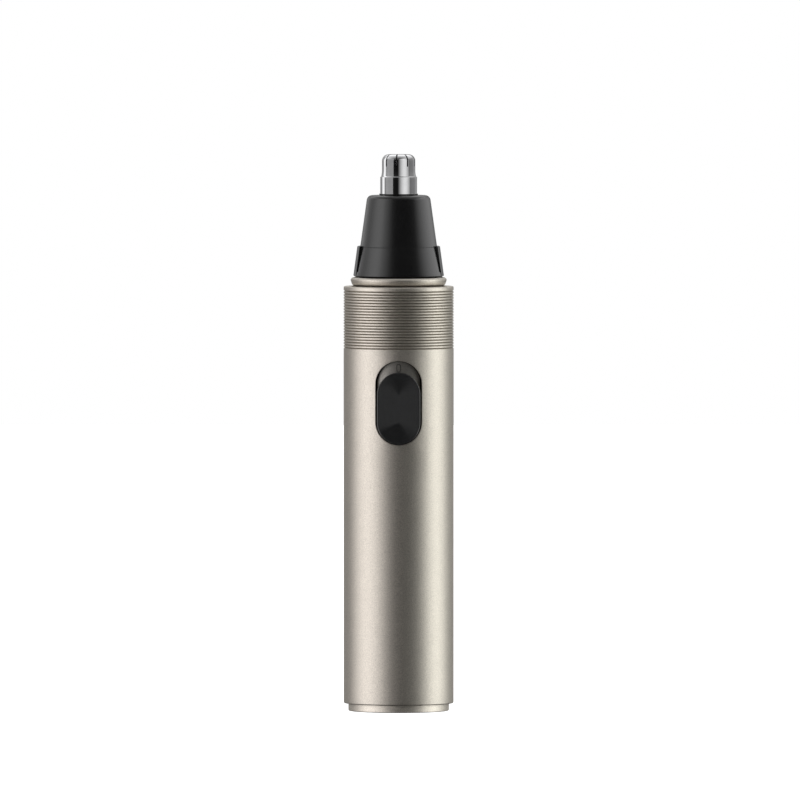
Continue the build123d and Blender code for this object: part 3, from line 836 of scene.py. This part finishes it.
def wrapped_cell(name):
    """The cell's printed film: plain blue with a copper end, and no lettering."""
    finish = Finish(name, Coat_Weight=0.4, Coat_Roughness=0.12)
    blue, copper = (0.05, 0.15, 0.36), (0.62, 0.32, 0.15)
    height = finish.node("ShaderNodeSeparateXYZ", finish.place).outputs["Z"]
    limits = {"From_Min": 0.0, "From_Max": 0.1}
    along = finish.node("ShaderNodeMapRange", height, "Value", **limits)
    finish.colour(along.outputs[0], blue, copper, 0.46, 0.47)
    finish.roughness(finish.noise(0.8), 0.28, 0.36)
    return finish.relief(finish.noise(0.5), 0.002).material


def rubber(name, colour):
    """Soft rubber with a dull, slightly dusty skin."""
    finish = Finish(name, Sheen_Weight=0.15, Sheen_Roughness=0.5)
    skin = finish.noise(0.09, detail=4)
    finish.colour(finish.together(skin, finish.noise(1.1), 0.5), *shades(colour, 0.25))
    finish.roughness(finish.noise(0.4), 0.55, 0.72)
    return finish.relief(skin, 0.003).material


CHAMPAGNE = (0.62, 0.583, 0.522)
CHAMPAGNE_BASE = [c * 1.2 for c in CHAMPAGNE]
# Painted shade: a darker copy of the champagne for the switch plate, for the shade that falls in the
# recess.
CHAMPAGNE_PAINTED_SHADE = (0.43, 0.415, 0.385)
HEAD_BLACK = (0.005, 0.005, 0.0052)
BUTTON_BLACK = (0.009, 0.0092, 0.0095)

# Painted shade in cuts, which darkens the colour deeper below the surface: each is the surface's radius,
# how far in the darkening reaches, and the height that it stops at.
# Painted shade in the grooves, the switch slot's walls and the tube's bore.
GROOVE_PAINTED_SHADE = (BARREL_R, 0.9, GROOVE_TOP + 0.3)
# Painted shade in the engraved lines of the switch plate.
RECESS_PAINTED_SHADE = (TRACK_R, 0.25, BARREL_TOP)

finishes = {
    "champagne_metal": blasted_aluminium("champagne_metal", CHAMPAGNE, 0.46, GROOVE_PAINTED_SHADE),
    "champagne_cap": blasted_aluminium("champagne_cap", CHAMPAGNE_BASE, 0.48),
    "head_plastic": moulded("head_plastic", HEAD_BLACK, 0.26, height=0.0001, vary=0.01, IOR=1.6),
    "switch_plastic": moulded(
        "switch_plastic", BUTTON_BLACK, 0.15, height=0.0008, vary=0.02, drawn=40, IOR=1.55
    ),
    # The switch plate's darker champagne is painted shade for the recess.
    "recess_plastic": blasted_aluminium("recess_plastic", CHAMPAGNE_PAINTED_SHADE, 0.46, RECESS_PAINTED_SHADE),
    "chassis_plastic": moulded("chassis_plastic", (0.045, 0.045, 0.048), 0.48),
    "nylon_white": moulded("nylon_white", (0.74, 0.73, 0.69), 0.42, spread=0.04),
    "nylon_black": moulded("nylon_black", (0.032, 0.032, 0.034), 0.42),
    "blade_chrome": turned_metal("blade_chrome", (0.79, 0.79, 0.80), 0.06, height=0.0002),
    "blade_steel": sheet_metal("blade_steel", (0.58, 0.58, 0.59), 0.24),
    "steel": sheet_metal("steel", (0.52, 0.52, 0.53), 0.3),
    "nickel": sheet_metal("nickel", (0.62, 0.60, 0.56), 0.26),
    "brass": sheet_metal("brass", (0.72, 0.53, 0.24), 0.28),
    "copper": banded("copper", (0.62, 0.28, 0.14), 0.28, 0.26, 0.06, rings=True, waver=0.3),
    "lamination": banded("lamination", (0.30, 0.30, 0.32), 0.4, 0.35, 0.02),
    "ferrite": moulded("ferrite", (0.06, 0.06, 0.065), 0.6, grain=0.2, height=0.008, Metallic=0.2),
    "cell_can": turned_metal("cell_can", (0.60, 0.60, 0.60), 0.25, height=0.002),
    "cell_wrap": wrapped_cell("cell_wrap"),
    "board": banded("board", (0.03, 0.14, 0.06), 0.38, 0.5, 0.006, metallic=0.0, waver=0.6),
    "ceramic": moulded("ceramic", (0.60, 0.30, 0.07), 0.35, grain=0.3, height=0.004),
    "seal_rubber": rubber("seal_rubber", (0.022, 0.022, 0.023)),
    "lead_red": rubber("lead_red", (0.42, 0.02, 0.018)),
    "lead_black": rubber("lead_black", (0.025, 0.025, 0.026)),
}


# ---- The whole object ----

for subpart in frame["record"]["subparts"]:
    carried = frame["nodes"][subpart["node"]]
    carried.data.materials.clear()
    carried.data.materials.append(finishes[subpart["material_slot"]])

barrel_pieces = [
    barrel_sleeve(finishes["champagne_metal"]),
    neck_ring(finishes["champagne_metal"]),
    battery_cap(finishes["champagne_cap"]),
    switch_plate(finishes["recess_plastic"]),
]
button = thumb_button(finishes["switch_plastic"])
thumb_stem(finishes["switch_plastic"])
head_pieces = [grip_ring(finishes["head_plastic"]), head_cone(finishes["head_plastic"])]
guard = outer_blade(finishes["blade_chrome"])


# ---- Studio ----


def studio_world():
    """A grey studio, brighter behind and overhead, with a white backdrop where the camera looks."""
    world = bpy.data.worlds.new("studio")
    world.use_nodes = True
    tree = world.node_tree
    tree.nodes.clear()
    place = tree.nodes.new("ShaderNodeTexCoord")
    parts = tree.nodes.new("ShaderNodeSeparateXYZ")
    both = tree.nodes.new("ShaderNodeMix")
    room = tree.nodes.new("ShaderNodeBackground")
    backdrop = tree.nodes.new("ShaderNodeBackground")
    path = tree.nodes.new("ShaderNodeLightPath")
    mix = tree.nodes.new("ShaderNodeMixShader")
    output = tree.nodes.new("ShaderNodeOutputWorld")

    def levels(axis, stops):
        """Grey levels along one axis of the direction, from -1 to 1."""
        spread = tree.nodes.new("ShaderNodeMapRange")
        spread.inputs["From Min"].default_value = -1
        ramp = tree.nodes.new("ShaderNodeValToRGB")
        while len(ramp.color_ramp.elements) < len(stops):
            ramp.color_ramp.elements.new(0.5)
        for stop, (position, level) in zip(ramp.color_ramp.elements, stops):
            stop.position = (position + 1) / 2
            stop.color = (level, level, level, 1)
        tree.links.new(parts.outputs[axis], spread.inputs["Value"])
        tree.links.new(spread.outputs[0], ramp.inputs[0])
        return ramp.outputs["Color"]

    back = levels("Y", [(-1, 0.008), (-0.5, 0.03), (0, 0.11), (0.44, 0.14), (0.8, 0.35), (1, 0.42)])
    overhead = levels("Z", [(-1, 0.25), (-0.2, 0.45), (0.1, 1), (0.4, 1.2), (0.75, 6), (1, 6)])
    both.data_type = "RGBA"
    both.blend_type = "MULTIPLY"
    both.inputs["Factor"].default_value = 1
    tree.links.new(back, both.inputs["A"])
    tree.links.new(overhead, both.inputs["B"])
    backdrop.inputs["Color"].default_value = (1, 1, 1, 1)
    tree.links.new(place.outputs["Generated"], parts.inputs[0])
    tree.links.new(both.outputs["Result"], room.inputs["Color"])
    tree.links.new(path.outputs["Is Camera Ray"], mix.inputs[0])
    tree.links.new(room.outputs[0], mix.inputs[1])
    tree.links.new(backdrop.outputs[0], mix.inputs[2])
    tree.links.new(mix.outputs[0], output.inputs["Surface"])
    bpy.context.scene.world = world


def chosen(name, objects, state):
    """A light-linking collection that includes or excludes these objects."""
    group = bpy.data.collections.new(name)
    for item in objects:
        group.objects.link(item)
    for item in group.collection_objects:
        item.light_linking.link_state = state
    return group


def feather(data):
    """Makes a light brightest along its middle, and fades it out to both sides."""
    data.use_nodes = True
    tree = data.node_tree
    surface = tree.nodes.new("ShaderNodeNewGeometry")
    across = tree.nodes.new("ShaderNodeSeparateXYZ")
    ramp = tree.nodes.new("ShaderNodeValToRGB")
    ramp.color_ramp.interpolation = "EASE"
    ramp.color_ramp.elements[0].color = (0, 0, 0, 1)
    ramp.color_ramp.elements[1].color = (0, 0, 0, 1)
    ramp.color_ramp.elements.new(0.5).color = (1, 1, 1, 1)
    tree.links.new(surface.outputs["Parametric"], across.inputs[0])
    tree.links.new(across.outputs["X"], ramp.inputs[0])
    tree.links.new(ramp.outputs["Color"], tree.nodes["Emission"].inputs["Strength"])


def softbox(name, bearing, span, radiance, group, tint=(1, 1, 1), low=-0.53, high=0.67, soft=True):
    """A light 0.6 m from the axis, with its bearing and span in degrees and its low and high in metres."""
    distance = 0.6
    data = bpy.data.lights.new(name, "AREA")
    data.shape = "RECTANGLE"
    data.size = 2 * distance * tan(radians(span / 2))
    data.size_y = high - low
    data.energy = radiance * 4 * data.size * data.size_y
    data.color = tint
    if soft:
        feather(data)
    light = bpy.data.objects.new(name, data)
    bpy.context.scene.collection.objects.link(light)
    out = Vector((sin(radians(bearing)), -cos(radians(bearing)), 0))
    light.location = out * distance + Vector((0, 0, (low + high) / 2))
    light.rotation_euler = out.to_track_quat("Z", "Y").to_euler()
    light.visible_camera = False
    light.light_linking.receiver_collection = group


def studio_floor():
    """A wide white floor, far enough below the trimmer to show the cap when it is pulled off."""
    columns, radius, level = 96, 3.0, -0.05
    verts = [(0, 0, level)]
    for i in range(columns):
        angle = 2 * pi * i / columns
        verts.append((radius * cos(angle), radius * sin(angle), level))
    mesh = bpy.data.meshes.new("floor")
    mesh.from_pydata(verts, [], [(0, i + 1, (i + 1) % columns + 1) for i in range(columns)])
    floor = bpy.data.objects.new("floor", mesh)
    bpy.context.scene.collection.objects.link(floor)
    finish = Finish("floor_white", Emission_Color=(1, 1, 1, 1), Emission_Strength=0.96)
    finish.colour(finish.noise(4.0), (0.80, 0.80, 0.80), (0.84, 0.84, 0.84))
    finish.roughness(finish.noise(6.0), 0.7, 0.8)
    floor.data.materials.append(finish.material)
    floor.visible_glossy = False
    floor.visible_shadow = False


def studio_camera():
    """A long lens far away: `field` millimetres across at the trimmer, seen a little from above."""
    distance, field, elevation, aim, sideways = 4500.0, 178.2, 2.1, 69.26, 0.3
    data = bpy.data.cameras.new("camera")
    data.sensor_width = 36.0
    data.lens = data.sensor_width * distance / field
    data.shift_x = sideways / field
    data.clip_end = 20
    camera = bpy.data.objects.new("camera", data)
    bpy.context.scene.collection.objects.link(camera)
    back = Vector((0, -cos(radians(elevation)), sin(radians(elevation))))
    camera.location = (Vector((0, 0, aim)) + back * distance) * MM
    camera.rotation_euler = back.to_track_quat("Z", "Y").to_euler()
    bpy.context.scene.camera = camera


blades = [guard, frame["nodes"]["inner_blade"]]
not_head = chosen("not_head", blades + head_pieces, "EXCLUDE")
only_blades = chosen("only_blades", blades, "INCLUDE")
only_barrel = chosen("only_barrel", barrel_pieces, "INCLUDE")
only_button = chosen("only_button", [button], "INCLUDE")
only_head = chosen("only_head", head_pieces, "INCLUDE")
studio_world()
studio_floor()
studio_camera()
softbox("box_left", -67.5, 96, 1.42, not_head, (1.0, 0.972, 0.975), low=-0.36)
softbox("box_right", 84.6, 78, 1.62, not_head, (0.99, 1.0, 0.975), low=-0.36)
softbox("barrel_fill", 10, 100, 0.031, only_barrel, soft=False)
softbox("head_left", -62, 92, 1.0, only_head)
softbox("head_left_far", -102, 100, 0.4, only_head, soft=False)
softbox("head_right", 104, 104, 1.2, only_head)
softbox("button_left", -27, 46, 0.27, only_button, low=-0.42, high=0.24)
softbox("button_right", 27, 46, 0.31, only_button, low=-0.42, high=0.12)
softbox("card_left_far", -111, 48, 0.85, only_blades)
softbox("card_left", -62, 52, 0.24, only_blades, soft=False)
softbox("card_right", 40, 92, 0.68, only_blades)
softbox("card_right_far", 112, 60, 0.09, only_blades, soft=False)
bpy.context.scene.view_settings.view_transform = "Standard"
